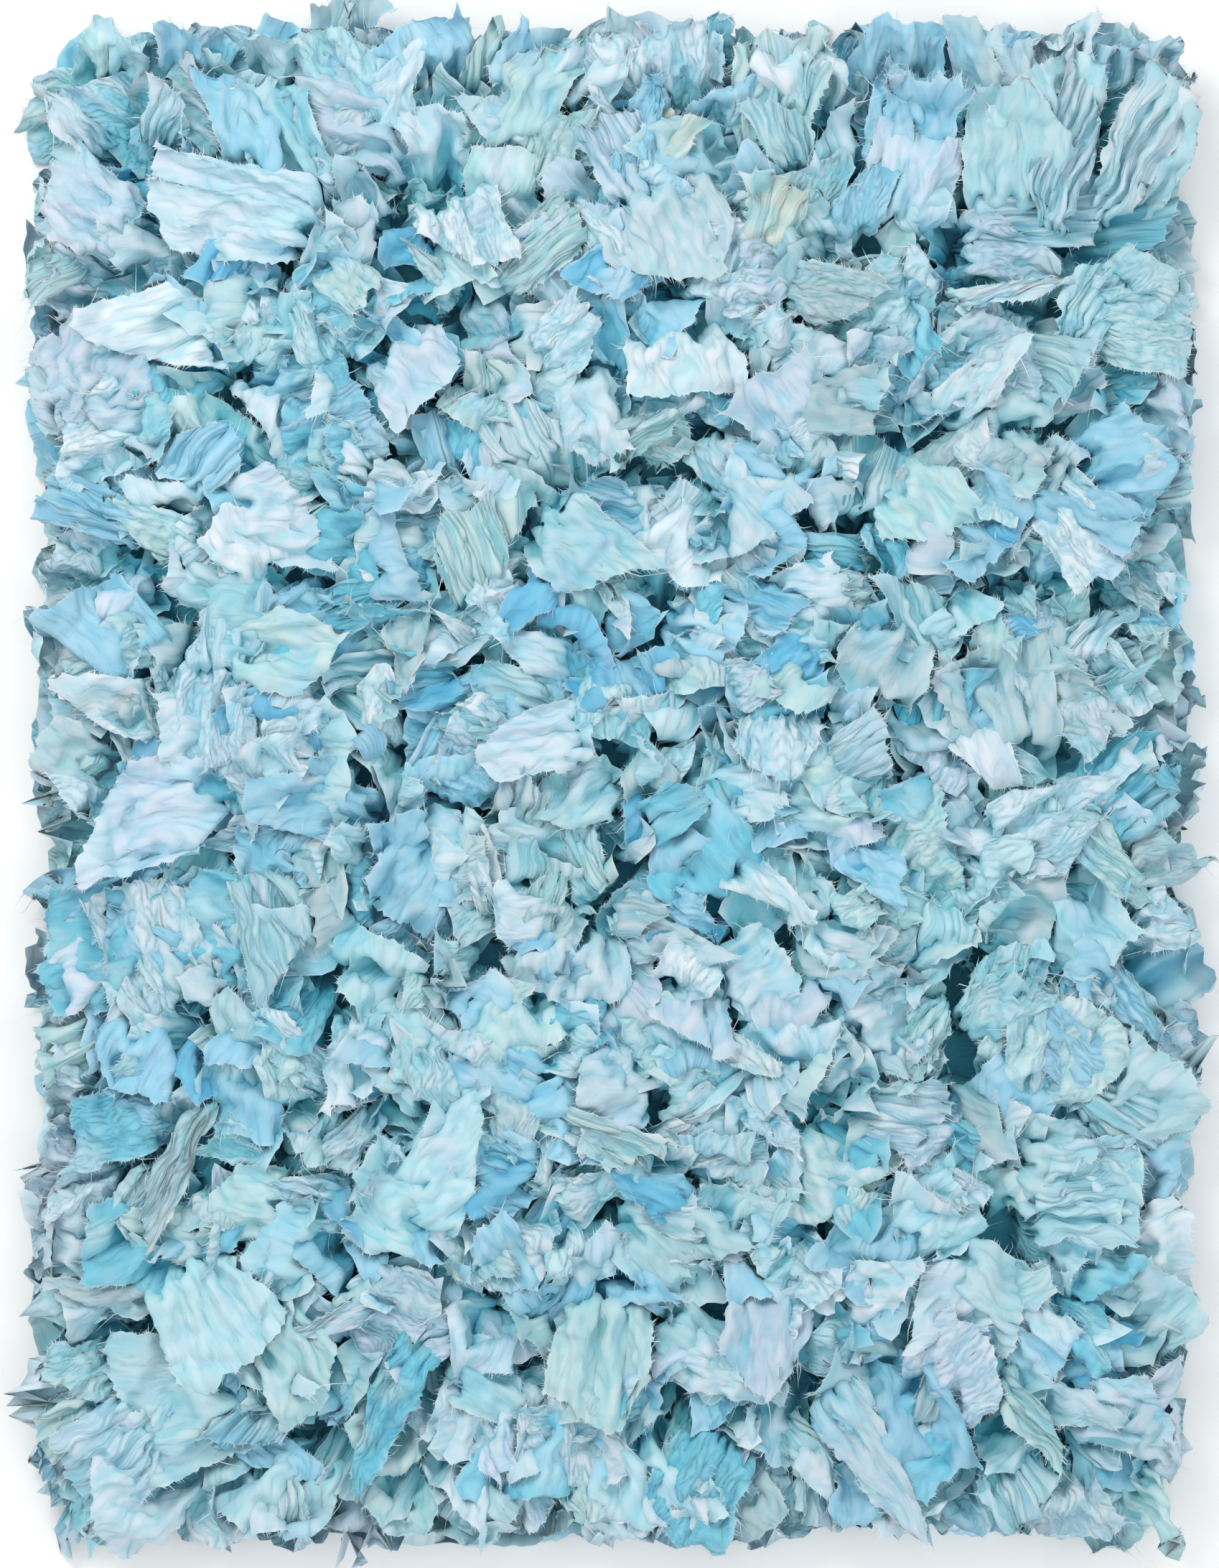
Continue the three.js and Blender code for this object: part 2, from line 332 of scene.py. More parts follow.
def rim_rags():
    """Rows of rags round the edge of the ground, which reach out over the floor and fan out at its
    corners."""
    for pitch, inset, shortest, longest in RIM_ROWS:
        for axis in (0, 1):
            half, other = ground_half[axis] - inset, ground_half[1 - axis] - inset
            steps = int(2 * half / pitch)
            for sign in (-1, 1):
                for k in range(steps + 1):
                    along = half * (2 * (k + draw.uniform(-RIM_SCATTER, RIM_SCATTER)) / steps - 1)
                    root, way = np.zeros(2), np.zeros(2)
                    root[axis], root[1 - axis] = along, sign * other
                    way[1 - axis] = sign
                    way[axis] = np.sign(along) * max(0, (abs(along) - half + CORNER) / CORNER)
                    heading = math.atan2(way[1], way[0]) + draw.normal(0, RIM_STRAY)
                    yield Rag(root, heading, draw.uniform(*RIM_LEAN), draw.uniform(shortest, longest),
                              draw.uniform(*RIM_WIDE))


# The rags that lie on top, each by the pixels over its root and its tip, its width in mm, its cloth and its
# dye.
TOP_RAGS = [
    # Along the far edge.
    (170, 140, 138, 10, 56, "muslin", "aqua"),
    (262, 130, 278, 8, 46, "muslin", "sky"),
    (395, 135, 398, 20, 70, "muslin", "aqua"),
    (560, 130, 560, 25, 52, "crepe", "grey"),
    (660, 150, 690, 25, 46, "crepe", "mint"),
    (905, 190, 780, 75, 84, "gauze", "white"),
    (990, 150, 955, 20, 46, "muslin", "turquoise"),
    (1065, 155, 1068, 40, 50, "muslin", "grey"),
    (1240, 170, 1245, 32, 86, "muslin", "sky"),
    (1400, 325, 1425, 110, 64, "muslin", "aqua"),
    (1435, 340, 1560, 75, 62, "crepe", "ice"),
    (1505, 345, 1635, 115, 50, "crepe", "white"),
    (1575, 330, 1685, 150, 56, "muslin", "aqua"),
    (215, 215, 262, 122, 44, "crepe", "ice"),
    (205, 235, 135, 300, 42, "muslin", "sky"),
    (465, 325, 205, 255, 66, "muslin", "ice"),
    (345, 130, 310, 240, 50, "gauze", "aqua"),
    (885, 245, 955, 148, 50, "crepe", "cream"),
    (1112, 255, 1070, 125, 42, "crepe", "aqua"),
    (1058, 372, 1108, 248, 42, "crepe", "cream"),
    (1150, 340, 1195, 195, 52, "gauze", "sky"),
    (1245, 330, 1290, 180, 50, "muslin", "lilac"),
    # The upper third.
    (145, 345, 12, 408, 46, "crepe", "mint"),
    (325, 450, 118, 520, 66, "muslin", "white"),
    (60, 480, 20, 560, 46, "muslin", "aqua"),
    (420, 350, 520, 430, 50, "gauze", "mint"),
    (598, 322, 535, 385, 34, "muslin", "blue"),
    (630, 255, 665, 400, 64, "gauze", "white"),
    (690, 405, 812, 292, 46, "crepe", "mint"),
    (890, 240, 955, 418, 78, "muslin", "ice"),
    (900, 345, 818, 428, 40, "muslin", "blue"),
    (940, 440, 950, 560, 66, "muslin", "white"),
    (735, 525, 845, 445, 46, "gauze", "ice"),
    (1300, 425, 1468, 345, 50, "crepe", "white"),
    (1080, 400, 1230, 440, 46, "gauze", "grey"),
    (540, 470, 620, 560, 52, "muslin", "lilac"),
    (1595, 525, 1680, 630, 54, "muslin", "lilac"),
    (1600, 575, 1530, 610, 50, "crepe", "turquoise"),
    (1600, 540, 1668, 530, 22, "muslin", "blue"),
    (1555, 690, 1662, 650, 54, "crepe", "aqua"),
    (1445, 665, 1555, 790, 58, "gauze", "white"),
    (1370, 640, 1465, 660, 40, "muslin", "grey"),
    (1235, 650, 1350, 760, 60, "muslin", "mint"),
    (1130, 620, 1060, 520, 52, "muslin", "lilac"),
    (1130, 565, 1235, 570, 40, "muslin", "grey"),
    (105, 640, 250, 560, 54, "gauze", "aqua"),
    (235, 690, 325, 590, 48, "crepe", "sky"),
    (300, 720, 465, 690, 74, "muslin", "ice"),
    (395, 810, 320, 700, 44, "muslin", "white"),
    (820, 640, 930, 560, 44, "crepe", "mint"),
    # The middle.
    (680, 850, 620, 710, 64, "crepe", "mint"),
    (745, 705, 900, 830, 56, "muslin", "aqua"),
    (800, 795, 745, 905, 50, "muslin", "blue"),
    (1265, 850, 1190, 965, 56, "muslin", "grey"),
    (1280, 850, 1365, 900, 50, "muslin", "aqua"),
    (1145, 880, 1070, 975, 38, "muslin", "blue"),
    (1000, 965, 1076, 905, 42, "gauze", "lilac"),
    (1085, 975, 1085, 1100, 56, "gauze", "ice"),
    (1130, 1095, 1240, 1020, 50, "crepe", "ice"),
    (1340, 1000, 1375, 1118, 40, "muslin", "white"),
    (1375, 1205, 1555, 1085, 66, "gauze", "ice"),
    (1320, 1120, 1200, 1115, 36, "muslin", "turquoise"),
    (1575, 1110, 1672, 1040, 54, "muslin", "lilac"),
    (1625, 1185, 1697, 1155, 34, "muslin", "mint"),
    (1575, 850, 1686, 905, 52, "muslin", "sky"),
    (1550, 800, 1655, 860, 56, "gauze", "white"),
    (1415, 780, 1330, 800, 48, "muslin", "aqua"),
    (300, 905, 488, 900, 58, "muslin", "mint"),
    (235, 1010, 78, 1035, 64, "muslin", "white"),
    (300, 905, 290, 1075, 70, "gauze", "ice"),
    (325, 1115, 100, 1130, 68, "muslin", "lilac"),
    (500, 1110, 350, 1155, 50, "muslin", "sky"),
    (835, 1015, 655, 1035, 48, "muslin", "ice"),
    (720, 1165, 745, 1050, 50, "crepe", "grey"),
    (690, 1290, 625, 1135, 48, "crepe", "white"),
    (740, 1310, 770, 1200, 34, "crepe", "mint"),
    (880, 1165, 1010, 1110, 46, "muslin", "turquoise"),
    (1000, 1195, 1105, 1320, 60, "muslin", "white"),
    (555, 1215, 545, 1130, 38, "muslin", "sky"),
    (1185, 1265, 1312, 1300, 44, "muslin", "mint"),
    # The lower third.
    (340, 1190, 420, 1380, 56, "crepe", "aqua"),
    (190, 1250, 290, 1390, 60, "muslin", "ice"),
    (180, 1440, 60, 1400, 60, "muslin", "grey"),
    (730, 1370, 735, 1487, 68, "muslin", "mint"),
    (940, 1360, 955, 1480, 60, "muslin", "lilac"),
    (495, 1400, 480, 1545, 34, "muslin", "white"),
    (590, 1395, 590, 1560, 44, "gauze", "aqua"),
    (905, 1500, 765, 1560, 54, "muslin", "ice"),
    (725, 1540, 935, 1625, 34, "crepe", "mint"),
    (985, 1675, 810, 1645, 34, "muslin", "blue"),
    (975, 1450, 1085, 1530, 50, "gauze", "white"),
    (560, 1700, 740, 1570, 72, "muslin", "aqua"),
    (305, 1525, 175, 1740, 32, "crepe", "grey"),
    (445, 1635, 450, 1725, 34, "muslin", "blue"),
    (240, 1740, 350, 1900, 64, "muslin", "aqua"),
    (375, 1820, 460, 1965, 52, "muslin", "mint"),
    (295, 2010, 100, 2090, 84, "muslin", "ice"),
    (190, 1880, 60, 1960, 54, "gauze", "aqua"),
    (600, 1850, 450, 2055, 46, "gauze", "turquoise"),
    (1155, 1800, 1290, 1780, 44, "muslin", "white"),
    (1370, 1750, 1250, 1860, 56, "muslin", "ice"),
    (840, 1780, 920, 1860, 54, "muslin", "sky"),
    (850, 1780, 840, 1985, 66, "muslin", "mint"),
    (1075, 1770, 1070, 1945, 56, "muslin", "lilac"),
    (1136, 1915, 1320, 2115, 46, "muslin", "ice"),
    (1380, 1900, 1505, 2005, 46, "crepe", "mint"),
    (1250, 1990, 1390, 1870, 60, "gauze", "lilac"),
    (1500, 1840, 1470, 1735, 46, "muslin", "aqua"),
    (1535, 1880, 1662, 1800, 56, "muslin", "aqua"),
    (1550, 2105, 1665, 1945, 66, "muslin", "lilac"),
    (1460, 2010, 1478, 2172, 58, "gauze", "ice"),
    (1555, 2035, 1672, 2130, 50, "crepe", "mint"),
    (640, 1990, 600, 2140, 72, "muslin", "ice"),
    (330, 2030, 345, 2150, 66, "muslin", "ice"),
    (780, 2010, 790, 2130, 56, "gauze", "mint"),
    (930, 2040, 1020, 2140, 54, "muslin", "white"),
    (1660, 1350, 1500, 1345, 34, "muslin", "sky"),
    (1510, 1590, 1650, 1480, 60, "muslin", "aqua"),
]
# What a rag needs of its length to rise through the pile, which is lower at the edge.
RISE, PLACED_EDGE_RISE = 0.036, 0.020
AT_EDGE = 0.03
PLACED_LEAN, PLACED_EDGE_LEAN = 0.5, 0.9
SPARE_LENGTH, SPARE_WIDTH = 1.12, 1.45


def placed_rags():
    """The rags of the table. Each has cloth to rise through the pile and some to spare for its folds."""
    for root_x, root_y, tip_x, tip_y, width, cloth, dye in TOP_RAGS:
        root, tip = np.array(on_rug(root_x, root_y)), np.array(on_rug(tip_x, tip_y))
        way = tip - root
        root = np.clip(root, ROOT_INSET - ground_half, ground_half - ROOT_INSET)
        at_edge = (ground_half - np.abs(root)).min() < AT_EDGE
        rise = PLACED_EDGE_RISE if at_edge else RISE
        lean = PLACED_EDGE_LEAN if at_edge else PLACED_LEAN
        long, wide = SPARE_LENGTH * math.hypot(*way) + rise, SPARE_WIDTH * width / 1000
        yield Rag(root, math.atan2(way[1], way[0]), lean, long, wide, cloth, dye, tip, rise)


# REACH is how far from the middle of the rug a rag may lie, and CROWDED how near to a placed rag none is
# rooted.
REACH = np.array([0.3755, 0.4880])
LAID_SHARE, ROOM_SHARE = 0.86, 0.97
CROWDED = 0.018
LEAST_NEAR = 0.1
HIGH_LONG, HIGH_LEAN = (0.086, 0.122), 0.4
EDGE_LONG, MORE_EDGE_LEAN = (0.09, 0.145), 0.4
LESS_EDGE_RISE = 0.014
NARROW, BROAD, NARROW_SHARE = (0.046, 0.074), (0.074, 0.118), 0.35
HIGH_STRAY, HIGH_STRAY_INSIDE = 0.3, 1.1
SIDEWAYS_SHARE, SIDEWAYS_STRAY = 0.6, 0.7


def high_rags(placed):
    """Long rags all over, which rise through the pile and lie over it between those of the table. Most of
    them point to the nearer long side."""
    taken = np.array([rag.root for rag in placed])
    for root, outward, near in rooted(HIGH_COUNT):
        if np.linalg.norm(taken - root, axis=1).min() < CROWDED:
            continue
        heading = draw.uniform(0, 2 * math.pi)
        if draw.random() < SIDEWAYS_SHARE:
            heading = (0 if root[0] > 0 else math.pi) + draw.normal(0, SIDEWAYS_STRAY)
        wide = draw.uniform(*(NARROW if draw.random() < NARROW_SHARE else BROAD))
        long, rise, lean = draw.uniform(*HIGH_LONG), RISE, HIGH_LEAN
        if near > LEAST_NEAR:
            heading = outward + draw.normal(0, HIGH_STRAY + HIGH_STRAY_INSIDE * (1 - near))
            rise = RISE - LESS_EDGE_RISE * near
            long = draw.uniform(*EDGE_LONG)
            lean = HIGH_LEAN + MORE_EDGE_LEAN * near
        way = np.array([math.cos(heading), math.sin(heading)])
        room = ((REACH - root * np.sign(way)) / np.abs(way)).min()
        long = min(long, rise + ROOM_SHARE * room)
        yield Rag(root, heading, lean, long, wide, tip=root + LAID_SHARE * (long - rise) * way, rise=rise)


OPENING_PACE = 0.6
FLATTEST = 0.99
ROOT_HEIGHT = 0.001


def cross_section(rag, rows, columns, widest):
    """Across a strip, from row to row: its points to the side, and up and down its uneven folds."""
    share = np.linspace(0, 1, rows)[:, None] ** OPENING_PACE
    opening = rag.gathered + (max(widest, rag.gathered) - rag.gathered) * share
    opening = np.minimum(opening * (1 + share * rag.uneven[: columns - 1]), FLATTEST)
    step = rag.wide / (columns - 1)
    rising = (np.arange(columns - 1) + rag.first_fold) % rag.period < rag.period / 2
    section = np.zeros((rows, columns, 2))
    section[:, 1:, 0] = np.cumsum(step * opening, axis=1)
    section[:, 1:, 1] = np.cumsum(step * np.sqrt(1 - opening**2) * np.where(rising, 1, -1), axis=1)
    return section - section.mean(axis=1, keepdims=True)


def bundle(rag, rows, columns):
    """The points of a gathered strip, which stands up from its root with its folds opening to the tip."""
    section = cross_section(rag, rows, columns, rag.first_opening)
    out, turn = math.sin(rag.lean), rag.heading
    ahead = np.array([math.cos(turn) * out, math.sin(turn) * out, math.cos(rag.lean)])
    side = np.array([-math.sin(turn), math.cos(turn), 0])
    over = np.cross(ahead, side)
    start = np.array([*rag.root, ground_top + ROOT_HEIGHT])
    up = np.arange(rows)[:, None, None] * rag.long / (rows - 1) * ahead
    return start + up + section[..., :1] * side + section[..., 1:] * over


def folded_lengths(rag, rows, columns, reach):
    """The distances across an opened strip between points that are some columns apart."""
    section = cross_section(rag, rows, columns, rag.opening)
    return np.linalg.norm(section[:, reach:] - section[:, :-reach], axis=-1)


def bumpy(count, rows, columns, coarse=5):
    """A soft random field from 0 to 1 over each of a number of grids."""
    knots = draw.uniform(0, 1, (count, coarse, coarse))
    down = np.maximum(0, 1 - np.abs(np.linspace(0, coarse - 1, rows)[:, None] - np.arange(coarse)))
    over = np.maximum(0, 1 - np.abs(np.linspace(0, coarse - 1, columns)[:, None] - np.arange(coarse)))
    return np.einsum("ra,nab,cb->nrc", down, knots, over)


placed = [*placed_rags()]
sorts = {"low": [*low_rags()], "rim": [*rim_rags()], "high": [*high_rags(placed), *placed]}
rags = [rag for sort in sorts.values() for rag in sort]


# The rags, settled
# The bundles open out, fall over, crumple against each other and are pressed down as a rolled rug is, then
# spring back a little. Each rag is a net of points that keep their distances, and bends where it is creased.
f32 = np.float32
# Rows along and columns across of the points of each sort of rag, and the rows that the ground holds.
GRIDS = {"low": (11, 9), "rim": (13, 13), "high": (20, 16)}
ROOT_ROWS = 3
# By how much of its length a rag is drawn in at a crease or a wide fold.
CREASED, FOLDED = 0.24, 0.26
# The share of an error in length that is put right at each turn.
STIFF_ACROSS, STIFF_ALONG, STIFF_BIAS = (0.12, 0.36), (0.20, 0.55), 0.25
STIFF_FAR_ACROSS, STIFF_FAR_ALONG = 0.08, 0.05


class Net:
    """All the rags of one sort, as points by rag, row and column, with what each rag resists."""

    def __init__(self, sort, first):
        self.rows, self.columns = GRIDS[sort]
        self.rags = sorts[sort]
        self.size = len(self.rags) * self.rows * self.columns
        self.slice = slice(first, first + self.size)
        number = len(self.rags)
        long = np.array([rag.long for rag in self.rags], f32)[:, None, None]
        wide = np.array([rag.wide for rag in self.rags], f32)[:, None, None]
        self.along, self.across = long / (self.rows - 1), wide / (self.columns - 1)
        self.diagonal = np.sqrt(self.along**2 + self.across**2)
        self.stiff_across = draw.uniform(*STIFF_ACROSS, (number, 1, 1)).astype(f32)
        self.stiff_along = draw.uniform(*STIFF_ALONG, (number, 1, 1)).astype(f32)
        grid = (self.rows, self.columns)
        self.near_across = np.stack([folded_lengths(rag, *grid, 2) for rag in self.rags]).astype(f32)
        self.far_across = np.stack([folded_lengths(rag, *grid, 4) for rag in self.rags]).astype(f32)
        crease = np.clip(2 * bumpy(number, self.rows - 2, self.columns) - 0.9, 0, 1)
        self.near_along = (2 * self.along * (1 - CREASED * crease)).astype(f32)
        fold = bumpy(number, self.rows - 4, self.columns, 4) * draw.uniform(0.3, 1, (number, 1, 1))
        self.far_along = (4 * self.along * (1 - FOLDED * fold)).astype(f32)

    def pin(self):
        self.points[:, :ROOT_ROWS] = self.roots


def pull(a, b, length, share, only_apart=False):
    """Moves pairs of points towards their distance from each other."""
    between = b - a
    now = np.sqrt(np.einsum("...k,...k->...", between, between)) + f32(1e-9)
    change = 1 - length / now
    if only_apart:
        change = np.minimum(change, 0)
    between *= (f32(0.5) * share * change)[..., None]
    a += between
    b -= between


def keep_cloth(net):
    """Gives each rag its own lengths back: along, across and on the bias, which gives more."""
    points = net.points
    for first in (0, 1):
        count = (net.rows - first) // 2
        last = first + 2 * count
        pull(points[:, first:last:2], points[:, first + 1 : last : 2], net.along, f32(1))
        net.pin()
    for first in (0, 1):
        count = (net.columns - first) // 2
        last = first + 2 * count
        pull(points[:, :, first:last:2], points[:, :, first + 1 : last : 2], net.across, f32(1))
    net.pin()
    pull(points[:, :-1, :-1], points[:, 1:, 1:], net.diagonal, f32(STIFF_BIAS))
    pull(points[:, :-1, 1:], points[:, 1:, :-1], net.diagonal, f32(STIFF_BIAS))
    net.pin()


def bend_cloth(net):
    """Draws each rag back to its gathered folds, and opens sharp bends along it up to its creases."""
    points = net.points
    pull(points[:, :, :-4], points[:, :, 4:], net.far_across, f32(STIFF_FAR_ACROSS))
    pull(points[:, :-4], points[:, 4:], net.far_along, f32(STIFF_FAR_ALONG))
    pull(points[:, :, :-2], points[:, :, 2:], net.near_across, net.stiff_across)
    pull(points[:, :-2], points[:, 2:], net.near_along, net.stiff_along, only_apart=True)
    net.pin()


nets, total = [], 0
for sort in sorts:
    nets.append(Net(sort, total))
    total += nets[-1].size
points = np.zeros((total, 3), f32)
rag_of, row_of, column_of = (np.zeros(total, np.int32) for _ in range(3))
first_rag = 0
for net in nets:
    number, grid = len(net.rags), (net.rows, net.columns)
    points[net.slice] = np.stack([bundle(rag, *grid) for rag in net.rags]).reshape(-1, 3)
    net.points = points[net.slice].reshape(number, *grid, 3)
    net.roots = net.points[:, :ROOT_ROWS].copy()
    rag_of[net.slice] = np.repeat(np.arange(first_rag, first_rag + number), net.rows * net.columns)
    row_of[net.slice] = np.tile(np.repeat(np.arange(net.rows), net.columns), number)
    column_of[net.slice] = np.tile(np.arange(net.columns), net.rows * number)
    first_rag += number
loose = np.flatnonzero(row_of >= ROOT_ROWS)
# By how much some rags reach less far out than others, so that the rug's outline is uneven.
UNEVEN_REACH = 0.026
limits = (REACH - draw.uniform(0, UNEVEN_REACH, (len(rags), 2))).astype(f32)[rag_of]

# Half of the cells round a cell, so that each pair of cells comes up once.
NEXT_CELLS = [(0, 0, 0)] + [
    (a, b, c) for a in (-1, 0, 1) for b in (-1, 0, 1) for c in (-1, 0, 1) if (a, b, c) > (0, 0, 0)
]


def near_pairs(reach):
    """The pairs of loose points nearer than a reach, without those that are neighbours in a rag."""
    cell = np.floor((points[loose] - points.min(axis=0)) / f32(reach)).astype(np.int64) + 1
    size = cell.max(axis=0) + 2
    key = (cell[:, 0] * size[1] + cell[:, 1]) * size[2] + cell[:, 2]
    order = np.argsort(key, kind="stable")
    key = key[order]
    starts = np.concatenate([[0], np.cumsum(np.bincount(key, minlength=int(size.prod()) + 1))])
    found = []
    for x, y, z in NEXT_CELLS:
        shift = (x * size[1] + y) * size[2] + z
        begin = starts[key + shift] if shift else np.arange(len(key)) + 1
        many = np.maximum(starts[key + shift + 1] - begin, 0)
        a = np.repeat(np.arange(len(key)), many)
        b = begin[a] + np.arange(len(a)) - np.repeat(np.cumsum(many) - many, many)
        a, b = loose[order[a]], loose[order[b]]
        between = points[a] - points[b]
        near = np.einsum("ij,ij->i", between, between) < reach * reach
        a, b = a[near], b[near]
        far = np.abs(row_of[a] - row_of[b]) > 2
        far |= np.abs(column_of[a] - column_of[b]) > 2
        far |= rag_of[a] != rag_of[b]
        found.append(np.stack([a[far], b[far]]))
    return np.concatenate(found, axis=1)


OWN_SHARE, PUSH_SHARE = 0.75, 0.3


def push_apart(pairs, gap):
    """Parts the points that are too close, within a rag at a smaller gap."""
    a, b = pairs
    between = points[b] - points[a]
    now = np.sqrt(np.einsum("ij,ij->i", between, between)) + f32(1e-9)
    gap = np.where(rag_of[a] == rag_of[b], f32(OWN_SHARE * gap), f32(gap))
    close = now < gap
    a, b, between = a[close], b[close], between[close]
    between *= (f32(PUSH_SHARE) * (gap[close] / now[close] - 1))[:, None]
    for axis in range(3):
        push = np.bincount(b, weights=between[:, axis], minlength=total)
        push -= np.bincount(a, weights=between[:, axis], minlength=total)
        points[:, axis] += push.astype(f32)


# How much high rags are lifted at each step while they are led to where they lie.
LIFT, PLACED_LIFT = 0.00006, 0.00014
high = nets[-1]
high_long = np.array([rag.long for rag in high.rags])[:, None]
high_rise = np.array([rag.rise for rag in high.rags])[:, None]
laid = (np.linspace(0, 1, high.rows) * high_long - high_rise) / (high_long - high_rise)
laid = np.clip(laid, 0, 1)[..., None]
high_root = np.array([rag.root for rag in high.rags])[:, None]
high_tip = np.array([rag.tip for rag in high.rags])[:, None]
high_path = (high_root + (high_tip - high_root) * laid).astype(f32)
high_free = (laid > 0).astype(f32)
high_lift = np.array([PLACED_LIFT if rag.dye else LIFT for rag in high.rags], f32)[:, None, None]

# How far a point may go in a step, how low it may lie, and how much of its pace it keeps.
FASTEST, LOWEST, SLOWING = 0.003, 0.0012, 0.86
# The steps between searches for pairs of points, and how far apart beyond the gap these are.
SEARCH_STEPS, SEARCH_PAST = 6, 0.002
# The shares of the steps at which the plate's height is given, and by which rags are their gap apart.
PRESS_TIMES = (0, 0.62, 0.75, 1)
APART_BY = 0.18
TURNS = 4
STIFF_SIDE = 0.4


def settle(steps, gaps, press, fall, guide):
    """Lets the rags move for a number of steps, under a plate whose height changes on the way."""
    before = points.copy()
    for step in range(steps):
        gap = gaps[0] + (gaps[1] - gaps[0]) * min(1, (step + 1) / (APART_BY * steps))
        pace = (points - before) * f32(SLOWING)
        before[:] = points
        speed = np.sqrt(np.einsum("ij,ij->i", pace, pace)) + f32(1e-9)
        points[:] += pace * np.minimum(1, f32(FASTEST) / speed)[:, None]
        points[:, 2] -= f32(fall)
        if guide:
            middle = high.points[..., :2].mean(axis=2)
            share = f32(guide * (1 - 0.5 * step / steps))
            high.points[..., :2] += ((high_path - middle) * high_free * share)[:, :, None]
            high.points[..., 2] += high_free * high_lift
        if step % SEARCH_STEPS == 0:
            pairs = near_pairs(gap + SEARCH_PAST)
        for net in nets:
            bend_cloth(net)
        for _ in range(TURNS):
            for net in nets:
                keep_cloth(net)
        push_apart(pairs, gap)
        plate = f32(np.interp(step / steps, PRESS_TIMES, press))
        points[:, 2] = np.clip(points[:, 2], f32(LOWEST), plate)
        past = points[:, :2] - np.clip(points[:, :2], -limits, limits)
        points[:, :2] -= f32(STIFF_SIDE) * past
        for net in nets:
            net.pin()


# First the bundles open and are pressed, then the pile comes to rest, with a firmer pull down.
FIRST_APART, APART = 0.0003, 0.0043
OPENING_PRESS, RESTING_PRESS = (0.120, 0.049, 0.060, 0.060), (0.060, 0.059, 0.059, 0.059)
FALL = 0.00005
settle(steps=95, gaps=(FIRST_APART, APART), press=OPENING_PRESS, fall=FALL, guide=0.05)
settle(steps=20, gaps=(APART, APART), press=RESTING_PRESS, fall=1.6 * FALL, guide=0)


# The rags, torn and crinkled
# Each settled net becomes cloth: its outline is torn, no two alike, and its face is covered with the small
# hard creases of cotton that was dyed in a bundle and dried without ironing.
CELL = 0.0025
MAP_HALF = np.array([0.42, 0.53])
map_size = (2 * MAP_HALF / CELL).astype(int)


def smooth_step(x):
    x = np.clip(x, 0, 1)
    return x * x * (3 - 2 * x)


def waves(s, t, shortest, longest, count):
    """A smooth random surface, from about -1 to 1, of waves whose lengths lie between two sizes."""
    height = np.zeros(np.broadcast(s, t).shape)
    for _ in range(count):
        pace = 2 * math.pi / draw.uniform(shortest, longest)
        turn = draw.uniform(0, math.pi)
        height += np.sin(pace * (s * math.cos(turn) + t * math.sin(turn)) + draw.uniform(0, 2 * math.pi))
    return height / math.sqrt(count)


def cubic(share):
    """The weights of four points in a row for a place between the middle two."""
    return (
        (-share + 2 * share**2 - share**3) / 2,
        (2 - 5 * share**2 + 3 * share**3) / 2,
        (share + 4 * share**2 - 3 * share**3) / 2,
        (share**3 - share**2) / 2,
    )


def on_net(grid, u, v):
    """Points of the smooth surface through a rag's net, by shares along and across it."""
    rows, columns = grid.shape[:2]
    a, b = u * (rows - 1), v * (columns - 1)
    i, j = np.clip(a.astype(int), 0, rows - 2), np.clip(b.astype(int), 0, columns - 2)
    surface = 0
    for m, row_weight in enumerate(cubic(a - i)):
        for n, column_weight in enumerate(cubic(b - j)):
            knot = grid[np.clip(i + m - 1, 0, rows - 1), np.clip(j + n - 1, 0, columns - 1)]
            surface = surface + knot * (row_weight * column_weight)[..., None]
    return surface


# The tears, as shares of a rag's length or of half its width.
SLANT, TAPER = 0.12, 0.45
BLUNT, POINTED, BLUNT_SHARE = (0, 0.10), (0.15, 0.45), 0.55
WAVY_END, WAVY_SIDE = 0.02, 0.03
RAGGED_END, RAGGED_SIDE = 0.03, 0.05


def torn(u, v):
    """Shares along and across a rag, drawn in to an outline of a few straight tears."""
    slant, peak = draw.normal(0, SLANT), draw.uniform(-1, 1)
    point = draw.uniform(*(BLUNT if draw.random() < BLUNT_SHARE else POINTED))
    end = slant * v - point * np.abs(v - peak)
    end = 1 + end - end.max() + WAVY_END * (waves(0 * v, v, 0.5, 1.8, 3) - 1)
    side = 1 + WAVY_SIDE * (waves(u + 2 * np.sign(v), 0 * v, 0.4, 1.4, 3) - 1.2)
    taper = 1 - draw.uniform(0, TAPER) * u * (v * draw.choice([-1, 1]) > 0)
    along = np.clip(u * (1 + (end - 1) * smooth_step(1.5 * u)), 0, 1)
    along = along - (u == 1) * draw.uniform(0, RAGGED_END, u.shape)
    ragged = 1 - (np.abs(v) == 1) * draw.uniform(0, RAGGED_SIDE, v.shape)
    return along, np.clip(v * side * taper, -1, 1) * ragged


def eased(value, start, end):
    """A distance that nears an end softly once it is past the start."""
    past = np.maximum(value - start, 0)
    return value - past + (end - start) * np.tanh(past / (end - start))


def normals_of(surface):
    normal = np.cross(np.gradient(surface, axis=0), np.gradient(surface, axis=1))
    return normal / (np.linalg.norm(normal, axis=-1, keepdims=True) + 1e-9)


def in_cells(places):
    i = np.clip(((places[..., :2] + MAP_HALF) / CELL).astype(int), 0, map_size - 1)
    return i[..., 0] * map_size[1] + i[..., 1]


